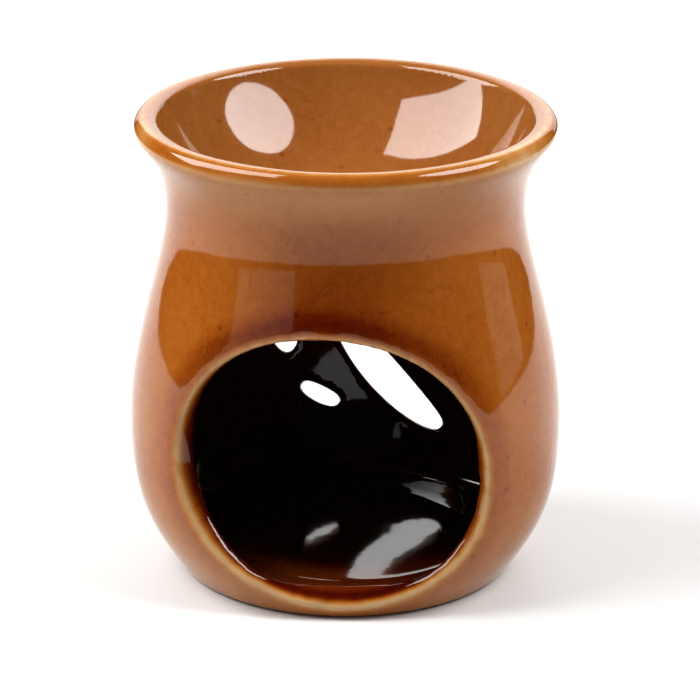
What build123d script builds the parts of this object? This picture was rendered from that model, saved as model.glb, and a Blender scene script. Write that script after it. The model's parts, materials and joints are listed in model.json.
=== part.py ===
from build123d import *
import math
import os

os.makedirs("parts", exist_ok=True)

# Driving dimensions, in millimetres and degrees.
# The origin is the middle of the underside, +Z is up and the window faces -Y.

# outline of the pot, from the table upwards
foot_radius = 33.2  # flat ring that stands on the table
foot_rounding = 1.0  # small radius between the flat ring and the wall
foot_lean = 48.0  # slope of the wall where it leaves the foot, from the horizontal
belly_radius = 45.0  # widest point of the pot
belly_height = 32.4  # height of the widest point
belly_length_below = 12.5  # length of the straighter part under the widest point
belly_length_above = 17.8  # length of the straighter part over the widest point
foot_length = 14.0  # length of the straighter part that leaves the foot
neck_radius = 37.2  # narrowest point under the lip
neck_height = 78.4  # height of the narrowest point, where the dish is set on
neck_length_below = 10.9  # length of the straighter part under the neck
neck_length_above = 8.6  # length of the straighter part over the neck
lip_height = 19.1  # narrowest point of the neck to the top of the lip
lip_radius = 43.5  # outermost point of the lip
lip_outer_rounding = 2.4  # rounding of the lip on its outer side
lip_inner_rounding = 1.8  # tighter rounding of the lip towards the oil
lip_lean = 30.0  # slope of the flare where it runs into the lip, from the vertical
lip_length = 4.6  # length of the straighter part under the lip

# clay
wall = 4.5  # thickness of the clay in the pot and in the dish
foot_recess = 0.8  # the floor disc is held this far off the table
floor_thickness = 4.2  # thickness of the floor disc
floor_radius = 27.0  # radius of the floor disc
cove_reach = 9.0  # how far the inner corner of the pot is drawn out along the floor

# oil dish
bowl_clearance = 0.9  # gap between the underside of the bowl and the neck, where the dish is set on
spigot_depth = 1.5  # how far the step under the dish reaches into the neck
spigot_clearance = 0.3  # gap between that step and the inside of the neck

# window, cut from outside with a knife that always points at one spot on the axis
# its heights are taken on the knife, straight over the edge of the foot
window_aim_height = 50.5  # height of the spot on the axis
window_top_height = 59.8  # height of the upper cut
window_waist_height = 28.6  # height of the widest line
window_sill_height = 7.7  # height of the lower cut
window_sweep = 92.5  # how far the window reaches round the pot
window_upper_fullness = 0.54  # how far the upper corners are filled out
window_lower_fullness = 0.59  # how far the lower corners are filled out
window_tilt = -12.5  # the oval lies slightly askew, lower on its right
window_outer_rounding = 1.8  # sponged outer edge of the window
window_inner_rounding = 0.6  # sponged inner edge of the window

# air vents, punched from outside through the back of the belly
vent_rise = 20.0  # slope of the punch, which points upwards on its way in
vent_rounding = 0.7  # sponged edges of the vents
vent_upper_fullness = 0.7  # how far the upper corners of a vent are filled out
vent_lower_fullness = 0.5  # how far the lower corners of a vent are filled out
long_vent_offset = 5.8  # middle of the long vent, towards +X
long_vent_height = 26.7  # height of its middle, at the widest point of the pot
long_vent_length = 35.0
long_vent_upper_bulge = 1.3  # how far the nearly straight upper edge stands off the line of the tips
long_vent_lower_bulge = 5.9  # how far the rounded lower edge stands off it
long_vent_tilt = -47.0  # lower towards +X
small_vent_offset = -9.4
small_vent_height = 19.6
small_vent_length = 9.6
small_vent_bulge = 1.6
small_vent_tilt = -25.0
side_vent_offset = -18.6
side_vent_height = 38.3
side_vent_length = 18.0
side_vent_bulge = 3.1
side_vent_tilt = -75.0

# Values that follow from the ones above.
floor_top = foot_recess + floor_thickness
inner_neck_radius = neck_radius - wall
total_height = neck_height + lip_height
lip_crest_radius = lip_radius - lip_outer_rounding


def point_at(start, distance, degrees):
    angle = math.radians(degrees)
    return (start[0] + distance * math.cos(angle), start[1] + distance * math.sin(angle))


def turned(outline):
    # drawn towards the back, so that the seam of the turned faces stays clear of the window
    face = make_face(Plane.YZ * Curve(outline))
    return revolve(face, Axis.Z)


def foot_curves():
    centre = (foot_radius, foot_rounding)
    start = (foot_radius, 0)
    middle = point_at(centre, foot_rounding, foot_lean / 2 - 90)
    end = point_at(centre, foot_rounding, foot_lean - 90)
    rounding = ThreePointArc(start, middle, end)
    belly = (belly_radius, belly_height)
    rise = Bezier(
        end,
        point_at(end, foot_length, foot_lean),
        (belly_radius, belly_height - belly_length_below),
        belly,
    )
    return [rounding, rise]


def shoulder_curve(radius_change):
    belly = (belly_radius - radius_change, belly_height)
    neck = (neck_radius - radius_change, neck_height)
    return Bezier(
        belly,
        (belly[0], belly_height + belly_length_above),
        (neck[0], neck_height - neck_length_below),
        neck,
    )


def inner_belly_curve():
    belly = (belly_radius - wall, belly_height)
    return Bezier(
        (floor_radius, floor_top),
        (floor_radius + cove_reach, floor_top),
        (belly[0], belly_height - belly_length_below),
        belly,
    )


def oval_quarter(half_width, rise, fullness):
    # one quarter of an oval, from its side to its top or bottom
    return Bezier(
        (half_width, 0),
        (half_width, rise * fullness),
        (half_width * fullness, rise),
        (0, rise),
    )


def knife_height(distance, height_at_foot):
    # height of a knife line that runs from the aimed spot over a point above the edge of the foot
    slope = (height_at_foot - window_aim_height) / foot_radius
    return window_aim_height + distance * slope


def window_slice(distance):
    half_width = distance * math.tan(math.radians(window_sweep / 2))
    waist = knife_height(distance, window_waist_height)
    top = knife_height(distance, window_top_height) - waist
    bottom = knife_height(distance, window_sill_height) - waist
    corners = [
        oval_quarter(half_width, top, window_upper_fullness),
        oval_quarter(-half_width, top, window_upper_fullness),
        oval_quarter(-half_width, bottom, window_lower_fullness),
        oval_quarter(half_width, bottom, window_lower_fullness),
    ]
    plane = Plane(origin=(0, -distance, waist), x_dir=(1, 0, 0), z_dir=(0, -1, 0))
    return plane * Rot(0, 0, window_tilt) * make_face(Curve(corners))


def window_cutter():
    return loft([window_slice(belly_radius / 2), window_slice(belly_radius + wall)], ruled=True)


def vent_cutter(offset, height, length, upper_bulge, lower_bulge, tilt):
    # a flat oval, longer than high, with its lower side bulging more or less than its upper one
    half_length = length / 2
    outline = [
        oval_quarter(half_length, upper_bulge, vent_upper_fullness),
        oval_quarter(-half_length, upper_bulge, vent_upper_fullness),
        oval_quarter(-half_length, -lower_bulge, vent_lower_fullness),
        oval_quarter(half_length, -lower_bulge, vent_lower_fullness),
    ]
    angle = math.radians(vent_rise)
    plane = Plane(
        origin=(offset, belly_radius, height),
        x_dir=(1, 0, 0),
        z_dir=(0, -math.cos(angle), math.sin(angle)),
    )
    face = plane * Rot(0, 0, tilt) * make_face(Curve(outline))
    return extrude(face, amount=belly_radius / 2, both=True)


def vent_cutters():
    long_vent = vent_cutter(
        long_vent_offset,
        long_vent_height,
        long_vent_length,
        long_vent_upper_bulge,
        long_vent_lower_bulge,
        long_vent_tilt,
    )
    small_vent = vent_cutter(
        small_vent_offset,
        small_vent_height,
        small_vent_length,
        small_vent_bulge,
        small_vent_bulge,
        small_vent_tilt,
    )
    side_vent = vent_cutter(
        side_vent_offset,
        side_vent_height,
        side_vent_length,
        side_vent_bulge,
        side_vent_bulge,
        side_vent_tilt,
    )
    return [long_vent, small_vent, side_vent]


def make_chamber():
    axis_line = Line((0, neck_height), (0, floor_top))
    floor_line = Line((0, floor_top), (floor_radius, floor_top))
    opening = Line((inner_neck_radius, neck_height), (0, neck_height))
    return turned([floor_line, inner_belly_curve(), shoulder_curve(wall), opening, axis_line])


def cut_edges(body, chamber, least, most):
    # edges left by a knife or a punch, chosen by how far they lie from the inner face of the pot
    found = []
    for edge in body.edges().filter_by(GeomType.BSPLINE):
        distance = Vertex(edge.position_at(0.5)).distance_to(chamber)
        if least <= distance <= most:
            found.append(edge)
    return found


def make_chamber_wall():
    stand = Line((0, 0), (foot_radius, 0))
    rim = Line((neck_radius, neck_height), (0, neck_height))
    axis_line = Line((0, neck_height), (0, 0))
    pot = turned([stand] + foot_curves() + [shoulder_curve(0), rim, axis_line])
    chamber = make_chamber()
    bore = Cylinder(floor_radius, floor_top, align=(Align.CENTER, Align.CENTER, Align.MIN))
    body = pot - window_cutter() - chamber - bore
    inner_edges = cut_edges(body, chamber, 0, window_inner_rounding)
    body = fillet(inner_edges, window_inner_rounding)
    outer_edges = cut_edges(body, chamber, wall * 0.8, belly_radius)
    body = fillet(outer_edges, window_outer_rounding)
    for vent in vent_cutters():
        body = body - vent
    behind = [edge for edge in cut_edges(body, chamber, 0, belly_radius) if edge.center().Y > 0]
    return fillet(behind, vent_rounding)


def make_chamber_floor():
    disc = Cylinder(floor_radius, floor_thickness, align=(Align.CENTER, Align.CENTER, Align.MIN))
    return Pos(0, 0, foot_recess) * disc


def bowl_sphere():
    # radius and middle of the sphere that the inside of the dish is a part of: it touches the inner
    # rounding of the lip, and its outside passes the neck with the clearance, where the dish is set on
    lip_rise = lip_height - lip_inner_rounding
    neck_reach = inner_neck_radius - bowl_clearance
    slope = (lip_inner_rounding - wall) / lip_rise
    spread = lip_crest_radius**2 - neck_reach**2 + lip_rise**2 - lip_inner_rounding**2 + wall**2
    level = spread / (2 * lip_rise)
    half = level * slope + wall
    rest = neck_reach**2 + level**2 - wall**2
    radius = (math.sqrt(half**2 + (1 - slope**2) * rest) - half) / (1 - slope**2)
    return radius, neck_height + level - slope * radius


def make_oil_dish():
    inner_radius, sphere_height = bowl_sphere()
    outer_radius = inner_radius + wall
    sphere = (0, sphere_height)
    dish_bottom = sphere_height - inner_radius
    outer_centre = (lip_crest_radius, total_height - lip_outer_rounding)
    inner_centre = (lip_crest_radius, total_height - lip_inner_rounding)
    crest = (lip_crest_radius, total_height)
    neck = (neck_radius, neck_height)

    flare_end = point_at(outer_centre, lip_outer_rounding, -lip_lean)
    flare = Bezier(
        neck,
        (neck_radius, neck_height + neck_length_above),
        point_at(flare_end, -lip_length, 90 - lip_lean),
        flare_end,
    )
    outer_lip = ThreePointArc(
        flare_end,
        point_at(outer_centre, lip_outer_rounding, (90 - lip_lean) / 2),
        crest,
    )
    fall = math.degrees(math.atan2(sphere[1] - inner_centre[1], inner_centre[0]))
    inner_lip_end = point_at(inner_centre, lip_inner_rounding, 180 - fall)
    inner_lip = ThreePointArc(
        crest,
        point_at(inner_centre, lip_inner_rounding, (90 + 180 - fall) / 2),
        inner_lip_end,
    )
    bowl = ThreePointArc(
        inner_lip_end,
        point_at(sphere, inner_radius, -(90 + fall) / 2),
        (0, dish_bottom),
    )
    middle_line = Line((0, dish_bottom), (0, dish_bottom - wall))

    # a low step under the dish centres it in the neck
    spigot_radius = inner_neck_radius - spigot_clearance
    spigot_end = neck_height - spigot_depth
    spigot_angle = math.degrees(math.asin((spigot_end - sphere[1]) / outer_radius))
    underside_end = point_at(sphere, outer_radius, spigot_angle)
    underside = ThreePointArc(
        (0, dish_bottom - wall),
        point_at(sphere, outer_radius, (spigot_angle - 90) / 2),
        underside_end,
    )
    step = Polyline(underside_end, (spigot_radius, spigot_end), (spigot_radius, neck_height), neck)
    outline = [flare, outer_lip, inner_lip, bowl, middle_line, underside, step]
    return turned(outline)


def save(shape, name):
    export_step(shape, f"parts/{name}.step")


save(make_chamber_wall(), "chamber_wall")
save(make_chamber_floor(), "chamber_floor")
save(make_oil_dish(), "oil_dish")
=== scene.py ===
import json
import math
import bpy
import numpy as np
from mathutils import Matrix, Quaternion, Vector
from mathutils.bvhtree import BVHTree
from mathutils.kdtree import KDTree

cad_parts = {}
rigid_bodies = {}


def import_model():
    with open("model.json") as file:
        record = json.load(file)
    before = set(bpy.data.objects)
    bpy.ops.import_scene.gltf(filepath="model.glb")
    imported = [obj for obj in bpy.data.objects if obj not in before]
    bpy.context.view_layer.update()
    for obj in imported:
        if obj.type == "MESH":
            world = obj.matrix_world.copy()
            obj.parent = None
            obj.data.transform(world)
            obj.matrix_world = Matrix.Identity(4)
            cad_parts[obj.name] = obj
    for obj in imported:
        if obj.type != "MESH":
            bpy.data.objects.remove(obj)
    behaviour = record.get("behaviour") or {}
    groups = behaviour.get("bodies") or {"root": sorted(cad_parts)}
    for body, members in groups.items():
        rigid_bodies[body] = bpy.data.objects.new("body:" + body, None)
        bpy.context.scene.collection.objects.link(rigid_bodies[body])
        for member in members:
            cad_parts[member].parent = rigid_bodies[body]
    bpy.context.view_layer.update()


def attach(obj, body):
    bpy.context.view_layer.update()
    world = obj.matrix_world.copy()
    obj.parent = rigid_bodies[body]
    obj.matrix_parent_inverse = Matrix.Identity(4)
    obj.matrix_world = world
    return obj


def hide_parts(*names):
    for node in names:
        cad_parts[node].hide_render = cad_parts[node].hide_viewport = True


# Glazed oil burner on a white table. Sizes are in millimetres down to the studio, which is in metres.
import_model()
scene = bpy.context.scene
mm = 0.001


def deselectAll():
    if bpy.context.mode != "OBJECT":
        bpy.ops.object.mode_set(mode="OBJECT")
    bpy.ops.object.select_all(action="DESELECT")


def makeActive(obj):
    deselectAll()
    obj.select_set(True)
    bpy.context.view_layer.objects.active = obj


def applyModifier(obj, kind, **settings):
    makeActive(obj)
    modifier = obj.modifiers.new(kind.title(), kind)
    for name, value in settings.items():
        setattr(modifier, name, value)
    bpy.ops.object.modifier_apply(modifier=modifier.name)


def boolean(obj, other, operation="DIFFERENCE"):
    applyModifier(obj, "BOOLEAN", object=other, operation=operation, solver="MANIFOLD")


def copyOf(obj, name):
    makeActive(obj)
    bpy.ops.object.duplicate()
    copy = bpy.context.object
    copy.name = copy.data.name = name
    return copy


def remove(*objs):
    for obj in objs:
        bpy.data.objects.remove(obj)


def positions(obj):
    # in mm, a row for each vertex
    co = np.empty(len(obj.data.vertices) * 3)
    obj.data.vertices.foreach_get("co", co)
    return co.reshape(-1, 3) / mm


def setPositions(obj, co):
    obj.data.vertices.foreach_set("co", (co * mm).ravel())
    obj.data.update()


def riseFrom(value, low, high):
    # 0 at low, 1 at high; low may be the larger one
    return np.clip((value - low) / (high - low), 0, 1)


def polar(distance, degrees):
    angle = math.radians(degrees)
    return distance * math.cos(angle), distance * math.sin(angle)


def shifted(point, distance, degrees):
    # a point moved in the outline's plane, 0 degrees outwards and 90 up
    x, y = polar(distance, degrees)
    return point[0] + x, point[1] + y


def bezierMesh(name, points, closed=False, steps=None):
    # points are (place, handle before, handle after), each an x and z in mm
    deselectAll()
    bpy.ops.curve.primitive_bezier_curve_add(location=(0, 0, 0))
    curve = bpy.context.object
    curve.name = name
    spline = curve.data.splines[0]
    spline.bezier_points.add(len(points) - 2)
    for knot, (place, before, after) in zip(spline.bezier_points, points):
        knot.handle_left_type = knot.handle_right_type = "FREE"
        knot.co = (place[0] * mm, 0, place[1] * mm)
        knot.handle_left = (before[0] * mm, 0, before[1] * mm)
        knot.handle_right = (after[0] * mm, 0, after[1] * mm)
    spline.use_cyclic_u = closed
    spline.resolution_u = steps or turning["curveSteps"]
    curve.data.dimensions = "3D"
    bpy.ops.object.convert(target="MESH")
    return bpy.context.object


def spun(obj):
    # turns a half outline, drawn from the axis back to the axis, into a closed body
    steps, merge = turning["steps"], turning["merge"] * mm
    applyModifier(obj, "SCREW", axis="Z", angle=2 * math.pi, steps=steps, render_steps=steps,
                  use_merge_vertices=True, merge_threshold=merge)
    bpy.ops.object.mode_set(mode="EDIT")
    bpy.ops.mesh.select_all(action="SELECT")
    bpy.ops.mesh.remove_doubles(threshold=merge)
    bpy.ops.mesh.normals_make_consistent(inside=False)
    bpy.ops.object.mode_set(mode="OBJECT")
    return obj


def corner(x, z):
    # a knot with no handles
    return (x, z), (x, z), (x, z)


def arcHandle(radius, sweep):
    # handle length that makes a Bezier stretch follow an arc of so many degrees
    return 4 / 3 * math.tan(math.radians(sweep) / 4) * radius


turning = {"steps": 320, "merge": 0.01, "curveSteps": 24, "profileSteps": 200}
pot = {
    "footRadius": 33.2, "footRounding": 1.0, "footLean": 48.0, "footFullness": 14.0,
    "bellyRadius": 45.0, "bellyHeight": 32.4, "bellyFullness": (12.5, 17.8),
    "neckRadius": 37.2, "neckHeight": 78.4, "neckFullness": (10.9, 8.6),
    "wall": 4.5, "floorTop": 5.0, "floorRecess": 0.8, "floorRadius": 27.0,
    # inside, the floor is flat in the middle and rises a little to the cove
    "flatRadius": 25.0, "flatFullness": (2.5, 8.5),
    "cove": (33.5, 6.9), "coveSlope": 13.0, "coveFullness": (4.1, 3.0),
    "spigotRun": 0.1,  # short straight stretch of the wall under the step
}
dish = {
    "top": 97.5, "lipRadius": 43.5, "outerRounding": 2.4, "lipLean": 30.0,
    # the top of the lip slopes a little to the oil and ends in a tight rounding
    "innerEdge": 39.25, "innerDrop": 0.45, "innerSlope": 20.0, "innerRounding": 0.8,
    "topFullness": (0.7, 0.6), "lipFullness": 4.6,
    "depth": 26.77, "spigotDepth": 1.5, "spigotRadius": 32.4,
}


def outsideOutline():
    foot, belly, neck = pot["footRadius"], pot["bellyRadius"], pot["neckRadius"]
    rounding, lean = pot["footRounding"], pot["footLean"]
    footEnd = shifted((foot, rounding), rounding, lean - 90)
    pull = arcHandle(rounding, lean)
    crest, top = dish["lipRadius"] - dish["outerRounding"], dish["top"]
    outer = (crest, top - dish["outerRounding"])
    inner = innerCentre()
    flareEnd = shifted(outer, dish["outerRounding"], -dish["lipLean"])
    outerPull = arcHandle(dish["outerRounding"], 90 + dish["lipLean"])
    ball, centre, fall = bowlSphere()
    slope = dish["innerSlope"]
    innerPull = arcHandle(dish["innerRounding"], 90 - fall - slope)
    innerStart = shifted(inner, dish["innerRounding"], 90 + slope)
    innerEnd = shifted(inner, dish["innerRounding"], 180 - fall)
    ballPull = arcHandle(ball, 90 - fall)
    # from the middle of the underside, up the outside and back to the bottom of the bowl
    return [
        corner(0, pot["floorRecess"]),
        corner(pot["floorRadius"], pot["floorRecess"]),
        corner(pot["floorRadius"], 0),
        ((foot, 0), (foot, 0), (foot + pull, 0)),
        (footEnd, shifted(footEnd, -pull, lean), shifted(footEnd, pot["footFullness"], lean)),
        ((belly, pot["bellyHeight"]), (belly, pot["bellyHeight"] - pot["bellyFullness"][0]),
         (belly, pot["bellyHeight"] + pot["bellyFullness"][1])),
        ((neck, pot["neckHeight"]), (neck, pot["neckHeight"] - pot["neckFullness"][0]),
         (neck, pot["neckHeight"] + pot["neckFullness"][1])),
        (flareEnd, shifted(flareEnd, -dish["lipFullness"], 90 - dish["lipLean"]),
         shifted(flareEnd, outerPull, 90 - dish["lipLean"])),
        ((crest, top), (crest + outerPull, top), (crest - dish["topFullness"][0], top)),
        (innerStart, shifted(innerStart, dish["topFullness"][1], slope),
         shifted(innerStart, -innerPull, slope)),
        (innerEnd, shifted(innerEnd, innerPull, 90 - fall), shifted(innerEnd, -ballPull, 90 - fall)),
        ((0, centre - ball), (ballPull, centre - ball), (0, centre - ball)),
    ]


def innerCentre():
    # centre of the rounding between the lip and the bowl
    return dish["innerEdge"], dish["top"] - dish["innerDrop"] - dish["innerRounding"]


def bowlSphere():
    # radius and centre of the round bowl, and how steeply it runs into the lip
    reach, level = innerCentre()
    bottom = dish["top"] - dish["depth"]
    rise, rounding = level - bottom, dish["innerRounding"]
    ball = (reach ** 2 + rise ** 2 - rounding ** 2) / (2 * (rise + rounding))
    centre = bottom + ball
    fall = math.degrees(math.atan2(centre - level, reach))
    return ball, centre, fall


def chamberOutline():
    ball, centre, _ = bowlSphere()
    under = ball + pot["wall"]
    step = pot["neckHeight"] - dish["spigotDepth"]
    reach = math.degrees(math.asin((centre - step) / under))
    underEnd = shifted((0, centre), under, -reach)
    pull = arcHandle(under, 90 - reach)
    neck, belly = pot["neckRadius"] - pot["wall"], pot["bellyRadius"] - pot["wall"]
    cove, slope = pot["cove"], pot["coveSlope"]
    floor, flat = pot["floorTop"], pot["flatRadius"]
    # from under the bowl, down the wall and back to the middle of the floor
    return [
        ((0, centre - under), (0, centre - under), (pull, centre - under)),
        (underEnd, shifted(underEnd, -pull, 90 - reach), underEnd),
        corner(neck, step),
        ((neck, step - pot["spigotRun"]), (neck, step), (neck, pot["neckHeight"] - pot["neckFullness"][0])),
        ((belly, pot["bellyHeight"]), (belly, pot["bellyHeight"] + pot["bellyFullness"][1]),
         (belly, pot["bellyHeight"] - pot["bellyFullness"][0])),
        (cove, shifted(cove, pot["coveFullness"][0], slope), shifted(cove, -pot["coveFullness"][1], slope)),
        ((flat, floor), (flat + pot["flatFullness"][0], floor), (flat - pot["flatFullness"][1], floor)),
        ((0, floor), (flat / 3, floor), (0, floor)),
    ]


# the wall is thicker beside the window on the left, where the photograph shows a broad edge
cutEdge = {"azimuth": -46.0, "spread": 24.0, "height": 34.0, "tall": 24.0, "extra": 1.7, "leastRadius": 30.0}


def thickenWall(chamber):
    co = positions(chamber)
    around = np.degrees(np.arctan2(co[:, 0], -co[:, 1]))
    weight = np.exp(-((around - cutEdge["azimuth"]) / cutEdge["spread"]) ** 2)
    weight *= np.exp(-((co[:, 2] - cutEdge["height"]) / cutEdge["tall"]) ** 2)
    radius = np.hypot(co[:, 0], co[:, 1])
    co[:, :2] *= (1 - cutEdge["extra"] * weight / np.maximum(radius, cutEdge["leastRadius"]))[:, None]
    setPositions(chamber, co)


def ovalPoints(halfWidth, up, down, fullUp, fullDown):
    # four knots; fullness is the share of the way that the handles reach to the corner
    return [
        ((halfWidth, 0), (halfWidth, down * fullDown), (halfWidth, up * fullUp)),
        ((0, up), (halfWidth * fullUp, up), (-halfWidth * fullUp, up)),
        ((-halfWidth, 0), (-halfWidth, up * fullUp), (-halfWidth, down * fullDown)),
        ((0, down), (-halfWidth * fullDown, down), (halfWidth * fullDown, down)),
    ]


def closeEnds(obj):
    # fills the open loops of a tube and turns its faces outwards
    makeActive(obj)
    bpy.ops.object.mode_set(mode="EDIT")
    bpy.ops.mesh.select_all(action="DESELECT")
    bpy.ops.mesh.select_mode(type="EDGE")
    bpy.ops.mesh.select_non_manifold()
    bpy.ops.mesh.edge_face_add()
    bpy.ops.mesh.select_all(action="SELECT")
    bpy.ops.mesh.normals_make_consistent(inside=False)
    bpy.ops.object.mode_set(mode="OBJECT")


# the window is a cone cut from the axis: sweep is its width in degrees, slopes are its upper edge,
# its widest level and its lower edge, as rise over distance from the axis at the height aim
window = {
    "aim": 50.5, "sweep": 92.5, "slopes": (0.28, -0.66, -1.29), "fullness": (0.54, 0.59), "tilt": 12.5,
}


def windowSlice(distance):
    upper, waist, lower = window["slopes"]
    halfWidth = distance * math.tan(math.radians(window["sweep"] / 2))
    up, down = distance * (upper - waist), distance * (lower - waist)
    points = ovalPoints(halfWidth, up, down, *window["fullness"])
    ring = bezierMesh("WindowRing", points, closed=True)
    ring.rotation_euler = (0, math.radians(window["tilt"]), 0)
    ring.location = Vector((0, -distance, window["aim"] + distance * waist)) * mm
    makeActive(ring)
    bpy.ops.object.transform_apply(location=True, rotation=True, scale=True)
    return ring


def windowCutter():
    near, far = windowSlice(pot["bellyRadius"] / 2), windowSlice(pot["bellyRadius"] + pot["wall"])
    deselectAll()
    near.select_set(True)
    far.select_set(True)
    bpy.context.view_layer.objects.active = near
    bpy.ops.object.join()
    bpy.ops.object.mode_set(mode="EDIT")
    bpy.ops.mesh.select_all(action="SELECT")
    bpy.ops.mesh.bridge_edge_loops()
    bpy.ops.object.mode_set(mode="OBJECT")
    cutter = bpy.context.object
    closeEnds(cutter)
    return cutter


vents = {
    "rise": 20.0, "fullness": (0.7, 0.5),
    # for each vent: offset, height, length, upper bulge, lower bulge, tilt
    "cuts": [
        (5.8, 26.7, 35.0, 1.3, 5.9, 47.0),
        (-9.4, 19.6, 9.6, 1.6, 1.6, 25.0),
        (-18.6, 38.3, 18.0, 3.1, 3.1, 75.0),
    ],
}


def ventCutter(offset, height, length, upBulge, downBulge, tilt):
    # an oval pulled out to a bar, turned in its own plane, tipped, and moved to the back wall
    reach = pot["bellyRadius"]
    points = ovalPoints(length / 2, upBulge, -downBulge, *vents["fullness"])
    cutter = bezierMesh("Vent", points, closed=True)
    makeActive(cutter)
    bpy.ops.object.mode_set(mode="EDIT")
    bpy.ops.mesh.select_all(action="SELECT")
    bpy.ops.mesh.extrude_region_move(TRANSFORM_OT_translate={"value": (0, reach * mm, 0)})
    bpy.ops.mesh.select_all(action="SELECT")
    bpy.ops.transform.translate(value=(0, -reach / 2 * mm, 0))
    bpy.ops.object.mode_set(mode="OBJECT")
    closeEnds(cutter)
    cutter.rotation_euler = (0, math.radians(tilt), 0)
    makeActive(cutter)
    bpy.ops.object.transform_apply(location=False, rotation=True, scale=False)
    cutter.rotation_euler = (math.radians(-vents["rise"]), 0, 0)
    cutter.location = Vector((offset, reach, height)) * mm
    bpy.ops.object.transform_apply(location=True, rotation=True, scale=False)
    return cutter


# the body is remeshed to one skin, and its cuts are rounded as the glaze rounds them
skin = {
    "voxel": 0.74, "smoothing": 5, "smoothShare": 0.5, "sharp": 35.0,
    # rows of vertices and rounds of smoothing at the window's outer edge, its inner edge and the vents
    "cutZone": (2.5, 72.4), "rim": (3, 16), "inner": (3, 26), "vent": (1, 4),
    # the snap back to the outline grows over these heights; its reach, its steps along the outline,
    # and how far the outline is kept below the bowl
    "snapBlend": (72.0, 84.0), "snapReach": 1.2, "snapStep": 0.02, "snapSpare": 1.0,
    # unevenness of a hand-made body, free of the table from the first height to the second
    "wobble": 0.35, "wobbleSize": 38.0, "wobbleStart": (1.0, 7.0), "wobbleLevels": 10,
}


def sampleProfile():
    # the outer side's heights and radii, and the whole outline as radius and height
    outline = bezierMesh("Profile", outsideOutline(), steps=turning["profileSteps"])
    co = positions(outline)
    remove(outline)
    top = co[:, 2].argmax()
    rising = co[:top + 1]
    rising = rising[rising[:, 0] > pot["footRadius"] - pot["footRounding"]]
    order = rising[:, 2].argsort()
    return rising[order, 2], rising[order, 0], co[:, [0, 2]]


def outerRadius(height):
    heights, radii = outsideProfile
    return np.interp(height, heights, radii)


def selectVertices(obj, mask):
    # selects the vertices where the mask is true, and leaves the object in edit mode
    makeActive(obj)
    bpy.ops.object.mode_set(mode="EDIT")
    bpy.ops.mesh.select_mode(type="VERT")
    bpy.ops.mesh.select_all(action="DESELECT")
    bpy.ops.object.mode_set(mode="OBJECT")
    obj.data.vertices.foreach_set("select", mask)
    bpy.ops.object.mode_set(mode="EDIT")


def sharpVertices(obj):
    # a mask of the vertices on edges that turn more than skin["sharp"] degrees
    makeActive(obj)
    bpy.ops.object.mode_set(mode="EDIT")
    bpy.ops.mesh.select_mode(type="EDGE")
    bpy.ops.mesh.select_all(action="DESELECT")
    bpy.ops.mesh.edges_select_sharp(sharpness=math.radians(skin["sharp"]))
    bpy.ops.mesh.select_mode(type="VERT")
    bpy.ops.object.mode_set(mode="OBJECT")
    picked = np.empty(len(obj.data.vertices), bool)
    obj.data.vertices.foreach_get("select", picked)
    return picked


def soften(obj, mask, width, rounds):
    selectVertices(obj, mask)
    for row in range(width):
        bpy.ops.mesh.select_more()
    bpy.ops.mesh.vertices_smooth(factor=skin["smoothShare"], repeat=rounds)
    bpy.ops.object.mode_set(mode="OBJECT")


def depthInWall(co):
    # 0 on the outer face of the pot, 1 on its inner face
    radius = np.hypot(co[:, 0], co[:, 1])
    return (outerRadius(co[:, 2]) - radius) / pot["wall"]


def softenCuts(obj):
    co = positions(obj)
    low, high = skin["cutZone"]
    edges = sharpVertices(obj) & (co[:, 2] > low) & (co[:, 2] < high)
    outer = depthInWall(co) < 0.5  # the outer half of the wall
    front = co[:, 1] < 0
    soften(obj, edges & front & outer, *skin["rim"])
    soften(obj, edges & front & ~outer, *skin["inner"])
    soften(obj, edges & ~front, *skin["vent"])


def treeOf(obj):
    # a search tree over the faces of a cutter
    obj.data.calc_loop_triangles()
    return BVHTree.FromPolygons([vertex.co for vertex in obj.data.vertices],
                                [list(triangle.vertices) for triangle in obj.data.loop_triangles])


def wobble(obj):
    # only inwards, so that the body stays in its box
    levels = skin["wobbleLevels"]
    weight = riseFrom(positions(obj)[:, 2], *skin["wobbleStart"])
    group = obj.vertex_groups.new(name="Free")
    for level in range(1, levels + 1):
        near = np.flatnonzero(np.round(weight * levels) == level)
        group.add(near.tolist(), level / levels, "REPLACE")
    texture = bpy.data.textures.new("Wobble", "CLOUDS")
    texture.noise_scale = skin["wobbleSize"] * mm
    texture.noise_depth = 1
    applyModifier(obj, "DISPLACE", texture=texture, texture_coords="LOCAL", direction="NORMAL",
                  mid_level=1.0, strength=skin["wobble"] * mm, vertex_group="Free")
    obj.vertex_groups.clear()


def snapToOutline(obj):
    # the remeshing blunts the lip, so the lip and the bowl go back on the drawn outline
    along = np.r_[0, np.hypot(*np.diff(fullProfile, axis=0).T).cumsum()]
    places = np.arange(0, along[-1], skin["snapStep"])
    dense = np.stack([np.interp(places, along, fullProfile[:, axis]) for axis in (0, 1)], 1)
    ball, centre, _ = bowlSphere()
    dense = dense[dense[:, 1] > centre - ball - skin["snapSpare"]]
    tree = KDTree(len(dense))
    for index, (x, z) in enumerate(dense):
        tree.insert((x, 0, z), index)
    tree.balance()
    co = positions(obj)
    radius = np.maximum(np.hypot(co[:, 0], co[:, 1]), 0.001)  # never 0, because it divides
    inBowl = np.hypot(radius, co[:, 2] - centre) < ball + pot["wall"] / 2
    weight = np.where(inBowl & (co[:, 2] < centre), 1, riseFrom(co[:, 2], *skin["snapBlend"]))
    for index in np.flatnonzero(weight > 0):
        found, _, distance = tree.find((radius[index], 0, co[index, 2]))
        if distance < skin["snapReach"]:
            co[index, :2] *= 1 + (found.x / radius[index] - 1) * weight[index]
            co[index, 2] += (found.z - co[index, 2]) * weight[index]
    setPositions(obj, co)


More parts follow.
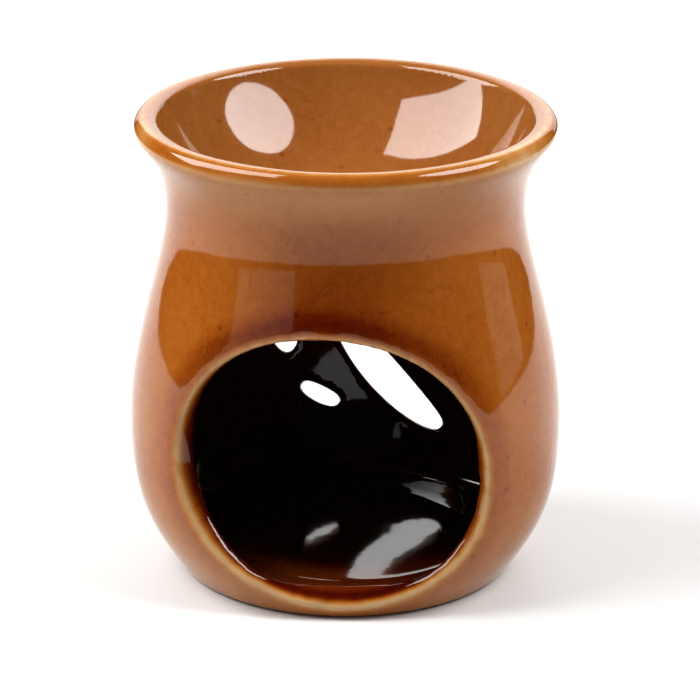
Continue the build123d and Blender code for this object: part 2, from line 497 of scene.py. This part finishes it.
print("shape: turning the body")
*outsideProfile, fullProfile = sampleProfile()
body = spun(bezierMesh("Body", outsideOutline()))
chamber = spun(bezierMesh("Chamber", chamberOutline()))
thickenWall(chamber)
boolean(body, chamber)
cutters = [windowCutter()] + [ventCutter(*cut) for cut in vents["cuts"]]
for cutter in cutters:
    boolean(body, cutter)
cutTrees = [treeOf(cutter) for cutter in cutters]
remove(chamber, *cutters)
applyModifier(body, "REMESH", mode="VOXEL", voxel_size=skin["voxel"] * mm, adaptivity=0)
applyModifier(body, "SMOOTH", factor=skin["smoothShare"], iterations=skin["smoothing"])
snapToOutline(body)
softenCuts(body)
wobble(body)
print("shape: body has", len(body.data.polygons), "faces")


# thickness of the glaze, from 0, bare, to 1, deep, with painted light and painted shade added in a few
# places; a pair of places is where a rise starts and ends
glaze = {
    "outside": 0.46, "dishInside": 0.46, "band": 0.60, "chamber": 0.90,
    # the band is the cut face of the wall, between these shares of its depth
    "bandDepth": (0.42, 0.85), "bandFrom": 2.5,
    # painted light: lighter on the neck's flare, where light bounced up from the table falls; thinner on the
    # foot, thicker on the window's sill: amount, start, end
    "neck": (-0.15, 82, 92), "neckEnd": (94.5, 93.0), "foot": (-0.10, 26, 7), "sill": (0.28, 18, 9),
    # painted light: the chamber floor's edge is lighter in front, where light falls in through the window
    "cove": (-0.24, 16.5, 19.5), "coveEnd": (35.5, 33.0), "coveFront": (6, 14), "coveTop": (16, 9),
    # painted shade: darker high up in front, above the window, where the side lights fall least
    "front": {"amount": 0.16, "spread": 22, "height": 69, "tall": 10},
    # pooled round the cuts on the outside, less so low down
    "pool": {"amount": 0.19, "place": 3.0, "width": 3.0, "least": 0.35, "rise": (35, 60), "depth": 0.35},
    # worn thin along the outer edge of each cut, and shifted into the cut at the sides of the pot
    "crest": {
        "width": 1.2, "shift": 0.0, "sideShift": -0.9, "reach": 30.0, "near": 3.0, "depth": (0.9, 0.6),
    },
    "innerLine": {"amount": 0.10, "width": 0.5, "near": 0.8},
    # worn lines along the lip: mm from its highest line, width, amount
    "lipLines": [(0.55, 0.50, 0.55), (4.3, 0.8, 0.45)], "lipReach": 6.0,
    # ochre patches on the lip's face: azimuth, spread, amount
    "lipFace": ((-0.5, 0.8), (5.5, 4.0)),
    "lipPatches": [(61, 13, 0.60), (-68, 9, 0.45), (150, 20, 0.5), (-140, 16, 0.4)],
    # rounds of blending, and the limits of the search for a cut
    "blend": 3, "dishBlend": 4, "deepest": 1.5, "cutsFrom": 1.0, "cutReach": 12.0,
    "blank": 0.02,  # a vertex below this has no value yet
}
nowhereNear = 99.0  # a distance in mm past every width used here


def spreadValues(obj, values, rounds):
    # averages each vertex with its neighbours, several times over
    ends = np.empty(len(obj.data.edges) * 2, np.int64)
    obj.data.edges.foreach_get("vertices", ends)
    a, b = ends[0::2], ends[1::2]
    count = np.bincount(ends, minlength=len(values))[:, None] + 1
    for lap in range(rounds):
        total = values.copy()
        for axis in range(values.shape[1]):
            total[:, axis] += (np.bincount(a, values[b, axis], len(values))
                               + np.bincount(b, values[a, axis], len(values)))
        values = total / count
    return values


def storeValue(obj, name, values):
    attribute = obj.data.attributes.new(name, "FLOAT", "POINT")
    attribute.data.foreach_set("value", np.asarray(values, np.float32))


def bell(value, middle, width):
    return np.exp(-((value - middle) / width) ** 2)


def lipDistance(radius, height):
    # millimetres along the lip from its highest line, outwards positive
    rounding, top = dish["outerRounding"], dish["top"]
    crest = dish["lipRadius"] - rounding
    outwards = np.arctan2(radius - crest, height - (top - rounding)) * rounding
    along = np.where(radius > crest, outwards, radius - crest)
    return np.where(height > top - glaze["lipReach"], along, nowhereNear)


def distanceToCuts(co):
    # how far each place on the wall lies from the nearest cut, in mm
    distance = np.full(len(co), nowhereNear)
    for index in np.flatnonzero((co[:, 2] > glaze["cutsFrom"]) & (co[:, 2] < pot["neckHeight"])):
        place = Vector(co[index]) * mm
        for tree in cutTrees:
            away = tree.find_nearest(place, glaze["cutReach"] * mm)[3]
            if away is not None:
                distance[index] = min(distance[index], away / mm)
    return distance


def glazeThickness(obj):
    co = positions(obj)
    radius, height = np.hypot(co[:, 0], co[:, 1]), co[:, 2]
    azimuth = np.degrees(np.arctan2(co[:, 0], -co[:, 1]))
    depth = depthInWall(co)
    ball, centre, _ = bowlSphere()
    fromBall = np.hypot(radius, height - centre)
    bandStart, bandEnd = glaze["bandDepth"]
    underDish = (fromBall > ball + pot["wall"] / 2) & (height < pot["neckHeight"] - dish["spigotDepth"] / 2)
    inDish = (fromBall < ball + pot["wall"] / 2) & (height > centre - ball - skin["snapSpare"])
    inBand = (depth > bandStart) & (depth < bandEnd) & underDish & (height > glaze["bandFrom"])
    inChamber = underDish & (depth >= bandEnd) & (height > pot["floorTop"] / 2)
    outside = ~(inDish | inBand | inChamber)

    # glaze thickness, to which painted light and painted shade are added below
    thick = np.full(len(co), glaze["outside"])
    thick[inDish] = glaze["dishInside"]
    thick[inBand] = glaze["band"]
    thick[inChamber] = glaze["chamber"]
    # painted light on the front of the chamber floor's edge, where light comes in through the window
    amount, low, high = glaze["cove"]
    cove = riseFrom(radius, low, high) * riseFrom(radius, *glaze["coveEnd"])
    cove *= riseFrom(-co[:, 1], *glaze["coveFront"]) * riseFrom(height, *glaze["coveTop"])
    thick += inChamber * cove * amount
    amount, low, high = glaze["sill"]
    thick += inBand * riseFrom(height, low, high) * amount
    # painted light: the neck's flare under the lip is made lighter, for the light bounced up from the table
    amount, low, high = glaze["neck"]
    thick += outside * riseFrom(height, low, high) * riseFrom(height, *glaze["neckEnd"]) * amount
    amount, low, high = glaze["foot"]
    thick += outside * riseFrom(height, low, high) * amount
    # painted shade: the glaze is made deeper high up in front, where little light falls
    front = glaze["front"]
    paintedFrontShade = bell(azimuth, 0, front["spread"]) * bell(height, front["height"], front["tall"])
    thick += outside * paintedFrontShade * front["amount"]
    thick = spreadValues(obj, thick[:, None], glaze["blend"])[:, 0]

    # across is 0 on a cut's outer edge, positive on the outside, negative going into the cut
    toCut = distanceToCuts(co)
    across = toCut - np.clip(depth, 0, glaze["deepest"]) * pot["wall"]
    pool = glaze["pool"]
    share = pool["least"] + (1 - pool["least"]) * riseFrom(height, *pool["rise"])
    thick += (depth < pool["depth"]) * bell(across, pool["place"], pool["width"]) * pool["amount"] * share
    crest = glaze["crest"]
    shift = crest["shift"] + crest["sideShift"] * np.minimum(np.abs(co[:, 0]) / crest["reach"], 1)
    edge = bell(across, shift, crest["width"]) * (toCut < crest["near"]) * riseFrom(depth, *crest["depth"])
    line = glaze["innerLine"]
    edge += line["amount"] * bell(across, -pot["wall"], line["width"]) * (toCut < line["near"])

    along = lipDistance(radius, height)
    for middle, width, amount in glaze["lipLines"]:
        edge += bell(along, middle, width) * amount
    inner, outer = glaze["lipFace"]
    face = riseFrom(along, *inner) * riseFrom(along, *outer)
    for middle, width, amount in glaze["lipPatches"]:
        edge += bell((azimuth - middle + 180) % 360 - 180, 0, width) * amount * face
    storeValue(obj, "glazeThickness", thick)
    storeValue(obj, "glazeEdge", np.clip(edge, 0, 1))
    storeValue(obj, "inDish", spreadValues(obj, inDish[:, None].astype(float), glaze["dishBlend"])[:, 0])


def readValue(obj, name):
    values = np.empty(len(obj.data.vertices), np.float32)
    obj.data.attributes[name].data.foreach_get("value", values)
    return values


def copyNearest(piece, source, tree):
    # the vertices that a joint adds are blank, and take over the values of the body's nearest vertex
    fresh = np.flatnonzero(readValue(piece, "glazeThickness") < glaze["blank"])
    nearest = [tree.find(piece.data.vertices[int(index)].co)[1] for index in fresh]
    for name in ("glazeThickness", "glazeEdge", "inDish"):
        values = readValue(piece, name)
        values[fresh] = readValue(source, name)[nearest]
        piece.data.attributes[name].data.foreach_set("value", values)


glazeThickness(body)
bodyTree = KDTree(len(body.data.vertices))
for vertex in body.data.vertices:
    bodyTree.insert(vertex.co, vertex.index)
bodyTree.balance()
print("glaze: thickness and edges are on the mesh")


class Value:
    # a number on its way through the nodes; arithmetic on it adds the Math nodes
    def __init__(self, paint, socket):
        self.paint, self.socket = paint, socket

    def maths(self, operation, *others):
        node = self.paint.add("ShaderNodeMath", {"operation": operation}, dict(enumerate([self, *others])))
        return Value(self.paint, node.outputs[0])

    def __add__(self, other):
        return self.maths("ADD", other)

    def __sub__(self, other):
        return self.maths("SUBTRACT", other)

    def __mul__(self, other):
        return self.maths("MULTIPLY", other)

    __radd__, __rmul__ = __add__, __mul__

    def __rsub__(self, other):
        return (self * -1) + other

    def limited(self):
        return self.maths("MAXIMUM", 0).maths("MINIMUM", 1)

    def between(self, low, high):
        # 0 at low, 1 at high, smooth in between
        node = self.paint.add("ShaderNodeMapRange", {"interpolation_type": "SMOOTHSTEP"},
                              {"Value": self, "From Min": low, "From Max": high})
        return Value(self.paint, node.outputs[0])


class Paint:
    # a material and its nodes
    def __init__(self, name):
        self.material = bpy.data.materials.new(name)
        self.material.use_nodes = True
        self.tree = self.material.node_tree
        self.shader = self.tree.nodes["Principled BSDF"]
        self.place = self.add("ShaderNodeTexCoord").outputs["Object"]

    def add(self, kind, settings=None, inputs=None):
        # settings first, a ramp's stops among them, then values or links for the sockets
        node = self.tree.nodes.new(kind)
        for name, value in (settings or {}).items():
            if name == "stops":
                for extra in value[2:]:
                    node.color_ramp.elements.new(0.5)
                for element, (spot, colour) in zip(node.color_ramp.elements, value):
                    element.position, element.color = spot, (*colour, 1)
            else:
                setattr(node, name, value)
        for name, value in (inputs or {}).items():
            self.connect(value, node.inputs[name])
        return node

    def connect(self, value, socket):
        value = getattr(value, "socket", value)
        if isinstance(value, bpy.types.NodeSocket):
            self.tree.links.new(value, socket)
        else:
            socket.default_value = value

    def attribute(self, name):
        return Value(self, self.add("ShaderNodeAttribute", {"attribute_name": name}).outputs["Fac"])

    def noise(self, size, detail=2.0):
        # size in mm
        inputs = {"Vector": self.place, "Scale": 1 / (size * mm), "Detail": detail}
        return self.add("ShaderNodeTexNoise", None, inputs)

    def cloud(self, size, detail=2.0):
        return Value(self, self.noise(size, detail).outputs["Fac"])

    def warped(self, size, amount):
        # the object's own coordinates, pushed about by a noise; both in mm
        push = self.add("ShaderNodeVectorMath", {"operation": "MULTIPLY_ADD"},
                        {0: self.noise(size).outputs["Color"], 1: (amount * mm,) * 3, 2: self.place})
        return push.outputs[0]

    def cellEdges(self, lines):
        # 1 on the thin lines between cells
        size, width = lines["size"], lines["width"] / lines["size"]
        node = self.add("ShaderNodeTexVoronoi", {"feature": "DISTANCE_TO_EDGE"},
                        {"Vector": self.warped(*lines["warp"]), "Scale": 1 / (size * mm)})
        return 1 - Value(self, node.outputs["Distance"]).between(width * lines["core"], width)

    def spots(self, spot):
        # small round spots in part of the cells
        node = self.add("ShaderNodeTexVoronoi", {"feature": "F1"},
                        {"Vector": self.place, "Scale": 1 / (spot["size"] * mm)})
        near = 1 - Value(self, node.outputs["Distance"]).between(*spot["edge"])
        pick = self.add("ShaderNodeSeparateColor", None, {"Color": node.outputs["Color"]})
        return near * (1 - Value(self, pick.outputs[0]).between(*spot["share"]))

    def ramp(self, value, stops):
        node = self.add("ShaderNodeValToRGB", {"stops": stops}, {"Fac": value})
        return node.outputs["Color"]

    def mix(self, factor, first, second):
        node = self.add("ShaderNodeMix", {"data_type": "RGBA"}, {"Factor": factor, 6: first, 7: second})
        return node.outputs[2]

    def bump(self, height, distance, strength=1.0, normal=None):
        # distance in mm
        inputs = {"Height": height, "Distance": distance * mm, "Strength": strength}
        if normal is not None:
            inputs["Normal"] = normal
        return self.add("ShaderNodeBump", None, inputs).outputs["Normal"]


# glaze colour from thin to thick, in linear light, on the pot and in the dish
glazeStops = [
    (0.00, (0.430, 0.265, 0.125)),
    (0.20, (0.375, 0.175, 0.052)),
    (0.38, (0.315, 0.113, 0.020)),
    (0.50, (0.240, 0.068, 0.008)),
    (0.70, (0.109, 0.016, 0.0015)),
    (0.82, (0.070, 0.005, 0.0004)),
    (0.92, (0.030, 0.003, 0.0005)),
    (1.00, (0.012, 0.002, 0.0008)),
]
dishStops = [
    (0.00, (0.430, 0.265, 0.125)),
    (0.20, (0.350, 0.180, 0.068)),
    (0.38, (0.270, 0.110, 0.031)),
    (0.50, (0.215, 0.074, 0.0165)),
    (0.70, (0.109, 0.016, 0.0015)),
    (1.00, (0.012, 0.002, 0.0008)),
]
# patterns in the glaze, sizes in mm, amounts in glaze thickness
finish = {
    "drift": 0.13, "driftSize": 26.0, "mottle": 0.10, "mottleSize": 2.2, "grain": 0.07, "grainSize": 0.45,
    "thinning": 0.60, "breakSize": 3.0, "breakRange": (0.30, 0.62), "breakShare": 0.25, "breakLeast": 0.65,
    "craze": 0.045, "crazeLines": {"size": 6.0, "width": 0.09, "core": 0.3, "warp": (9.0, 6.0)},
    "fineCrazeLines": {"size": 2.3, "width": 0.06, "core": 0.3, "warp": (4.0, 2.0)},
    "fineCrazeArea": 19.0, "fineCrazeRange": (0.42, 0.60),
    "speck": 0.10, "specks": {"size": 3.2, "edge": (0.10, 0.24), "share": (0.09, 0.10)},
    "roughness": 0.06, "edgeRoughness": 0.12, "gloss": 0.03, "ior": 1.48,
    "waveSize": 17.0, "wave": 0.35, "waveStrength": 0.5, "rippleSize": 3.5, "ripple": 0.012,
}


def glazeFinish(name):
    paint = Paint(name)
    # glaze thickness with the painted light and painted shade in it
    thick = paint.attribute("glazeThickness")
    edge = paint.attribute("glazeEdge")
    # each cloud lies about 0.5, so half is taken off
    drift = paint.cloud(finish["driftSize"]) - 0.5
    mottle = paint.cloud(finish["mottleSize"], 3) - 0.5
    grain = paint.cloud(finish["grainSize"], 1) - 0.5
    broken = paint.cloud(finish["breakSize"], 2).between(*finish["breakRange"])
    worn = edge * (broken * finish["breakShare"] + finish["breakLeast"])
    fineArea = paint.cloud(finish["fineCrazeArea"], 1).between(*finish["fineCrazeRange"])
    craze = paint.cellEdges(finish["crazeLines"]) + paint.cellEdges(finish["fineCrazeLines"]) * fineArea
    specks = paint.spots(finish["specks"])
    depth = (thick + drift * finish["drift"] + mottle * finish["mottle"] + grain * finish["grain"]
             - worn * finish["thinning"] + craze * finish["craze"] + specks * finish["speck"])
    depth = depth.limited()
    colour = paint.mix(paint.attribute("inDish"), paint.ramp(depth, glazeStops), paint.ramp(depth, dishStops))
    paint.connect(colour, paint.shader.inputs["Base Color"])
    roughness = mottle * finish["gloss"] + edge * finish["edgeRoughness"] + finish["roughness"]
    paint.connect(roughness, paint.shader.inputs["Roughness"])
    wave = paint.bump(paint.cloud(finish["waveSize"], 1), finish["wave"], finish["waveStrength"])
    ripple = paint.bump(paint.cloud(finish["rippleSize"], 1), finish["ripple"], normal=wave)
    paint.connect(ripple, paint.shader.inputs["Normal"])
    paint.shader.inputs["IOR"].default_value = finish["ior"]
    return paint.material


# the fired body is parted where its pieces were joined; these ends of the tools lie clear of its surface
parting = {"wide": 60.0, "under": -2.0, "bowl": 60.0, "over": 110.0, "floorHigh": 6.5, "smoothAngle": 50.0}


def partingTool(name, outline):
    return spun(bezierMesh(name, [corner(*place) for place in outline], steps=1))


def clayPiece(name, tools, operation, node, glazeName):
    piece = copyOf(body, name)
    for tool in tools:
        boolean(piece, tool, operation)
    copyNearest(piece, body, bodyTree)
    makeActive(piece)
    bpy.ops.object.shade_smooth_by_angle(angle=math.radians(parting["smoothAngle"]))
    piece.data.materials.clear()
    piece.data.materials.append(glazeFinish(glazeName))
    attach(piece, "root")
    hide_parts(node)
    piece.data.calc_loop_triangles()
    print("piece:", name, len(piece.data.loop_triangles), "triangles")


seat, spigot, disc = pot["neckHeight"], dish["spigotRadius"], pot["floorRadius"]
wide, bowl, over = parting["wide"], parting["bowl"], parting["over"]
under, floorHigh = parting["under"], parting["floorHigh"]
dishTool = partingTool("DishTool", [(0, bowl), (spigot, bowl), (spigot, seat), (wide, seat),
                                    (wide, over), (0, over)])
floorTool = partingTool("FloorTool", [(0, under), (disc, under), (disc, floorHigh), (0, floorHigh)])
clayPiece("OilDish", [dishTool], "INTERSECT", "oil_dish", "DishGlaze")
clayPiece("ChamberFloor", [floorTool], "INTERSECT", "chamber_floor", "FloorGlaze")
clayPiece("ChamberWall", [dishTool, floorTool], "DIFFERENCE", "chamber_wall", "PotGlaze")
remove(body, dishTool, floorTool)


# a round white table in front of a white backdrop, in metres; a light's place and roll in degrees
studio = {
    "table": {"middle": (-0.01, 0.0), "radius": 0.40, "edge": 0.012, "sides": 360},
    "backdrop": {"distance": 0.85, "size": (0.9, 1.0)},
    "white": {"size": 60.0, "dark": (0.60, 0.60, 0.60, 1), "pale": (0.62, 0.618, 0.615, 1), "roughness": 0.6},
    "aim": 0.06,  # height that the softboxes face
    "softboxes": {
        "SoftboxLeft": {"azimuth": -81.7, "elevation": 44.6, "roll": 51.9, "distance": 0.95,
                        "size": (0.884, 0.62), "shape": "RECTANGLE", "radiance": 8.6},
        "SoftboxRight": {"azimuth": 85.4, "elevation": 45.8, "roll": -8.1, "distance": 0.95,
                         "size": (0.669, 0.605), "shape": "ELLIPSE", "radiance": 9.6},
        "StripLeft": {"azimuth": -44.0, "elevation": 4.5, "roll": 0.0, "distance": 1.05,
                      "size": (0.70, 0.40), "shape": "RECTANGLE", "radiance": 0.60},
        "StripRight": {"azimuth": 106.0, "elevation": 4.5, "roll": 0.0, "distance": 1.00,
                       "size": (0.42, 0.40), "shape": "RECTANGLE", "radiance": 0.50},
    },
    "backdropLight": {"place": (0, 0.50, 0.60), "target": (0, 0.85, 0.30), "roll": 0.0,
                      "size": (0.9, 0.25), "shape": "RECTANGLE", "radiance": 9.5},
    # the room's brightness in reflections, on matt surfaces, and where the camera looks past the table
    "room": 0.012, "fill": 0.26, "paper": 1.0,
}
# distance and height in metres, azimuth and pitch in degrees, lens in mm for a sensor so many mm wide
view = {"azimuth": 5.4, "distance": 0.9, "height": 0.36654, "pitch": 19.6, "lens": 236.35, "sensor": 36.0,
        "shift": 0.0061}


def towards(azimuth, elevation):
    # azimuth 0 is the camera's side, positive towards +X
    a, e = math.radians(azimuth), math.radians(elevation)
    return Vector((math.sin(a) * math.cos(e), -math.cos(a) * math.cos(e), math.sin(e)))


def makeTable():
    table, backdrop = studio["table"], studio["backdrop"]
    width, height = backdrop["size"]
    deselectAll()
    bpy.ops.mesh.primitive_cylinder_add(vertices=table["sides"], radius=table["radius"], depth=table["edge"],
                                        location=(*table["middle"], -table["edge"] / 2))
    finishStage("Table")
    bpy.ops.mesh.primitive_plane_add(size=1, location=(0, backdrop["distance"], height / 2),
                                     rotation=(math.radians(90), 0, 0))
    bpy.context.object.scale = (width, height, 1)
    finishStage("Backdrop")
    bpy.context.object.visible_camera = False  # seen in the glaze alone, so it hides the pot from no side


def finishStage(name):
    obj = bpy.context.object
    obj.name = name
    bpy.ops.object.transform_apply(location=True, rotation=True, scale=True)
    obj.data.materials.append(tableWhite)


def tableFinish():
    white = studio["white"]
    paint = Paint("TableWhite")
    colour = paint.mix(paint.cloud(white["size"], 3), white["dark"], white["pale"])
    paint.connect(colour, paint.shader.inputs["Base Color"])
    paint.connect(white["roughness"], paint.shader.inputs["Roughness"])
    return paint.material


def makeLight(name, place, target, light):
    # the energy is worked out from the radiance, so that a larger light is as bright as a small one
    deselectAll()
    place, target = Vector(place), Vector(target)
    bpy.ops.object.light_add(type="AREA", location=place)
    lamp = bpy.context.object
    lamp.name = name
    turn = (target - place).to_track_quat("-Z", "Y")
    lamp.rotation_euler = (turn @ Quaternion((0, 0, 1), math.radians(light["roll"]))).to_euler()
    width, height = light["size"]
    lamp.data.shape, lamp.data.size, lamp.data.size_y = light["shape"], width, height
    area = width * height * (math.pi / 4 if light["shape"] == "ELLIPSE" else 1)
    lamp.data.energy = light["radiance"] * math.pi * area


def makeLights():
    target = Vector((0, 0, studio["aim"]))
    for name, light in studio["softboxes"].items():
        place = towards(light["azimuth"], light["elevation"]) * light["distance"] + target
        makeLight(name, place, target, light)
    light = studio["backdropLight"]
    makeLight("BackdropLight", light["place"], light["target"], light)


def makeRoom():
    world = bpy.data.worlds.new("Room")
    scene.world = world
    world.use_nodes = True
    nodes, links = world.node_tree.nodes, world.node_tree.links
    path = nodes.new("ShaderNodeLightPath")
    room = nodes["Background"]
    room.inputs["Color"].default_value = (studio["room"],) * 3 + (1,)
    # the room is laid under the fill, and both under the paper
    for kind, level in (("Is Diffuse Ray", studio["fill"]), ("Is Camera Ray", studio["paper"])):
        light, mixed = nodes.new("ShaderNodeBackground"), nodes.new("ShaderNodeMixShader")
        light.inputs["Color"].default_value = (level,) * 3 + (1,)
        links.new(path.outputs[kind], mixed.inputs["Fac"])
        links.new(room.outputs[0], mixed.inputs[1])
        links.new(light.outputs[0], mixed.inputs[2])
        room = mixed
    links.new(room.outputs[0], nodes["World Output"].inputs["Surface"])


def makeCamera():
    away = towards(view["azimuth"], 0) * view["distance"]
    bpy.ops.object.camera_add(location=(away.x, away.y, view["height"]),
                              rotation=(math.radians(90 - view["pitch"]), 0, math.radians(view["azimuth"])))
    camera = bpy.context.object
    camera.data.lens, camera.data.sensor_width = view["lens"], view["sensor"]
    camera.data.shift_x = view["shift"]
    scene.camera = camera


tableWhite = tableFinish()
makeTable()
makeLights()
makeRoom()
makeCamera()
scene.view_settings.view_transform = "Standard"
scene.view_settings.look = "Medium High Contrast"
print("studio: table, lights and camera are in place")
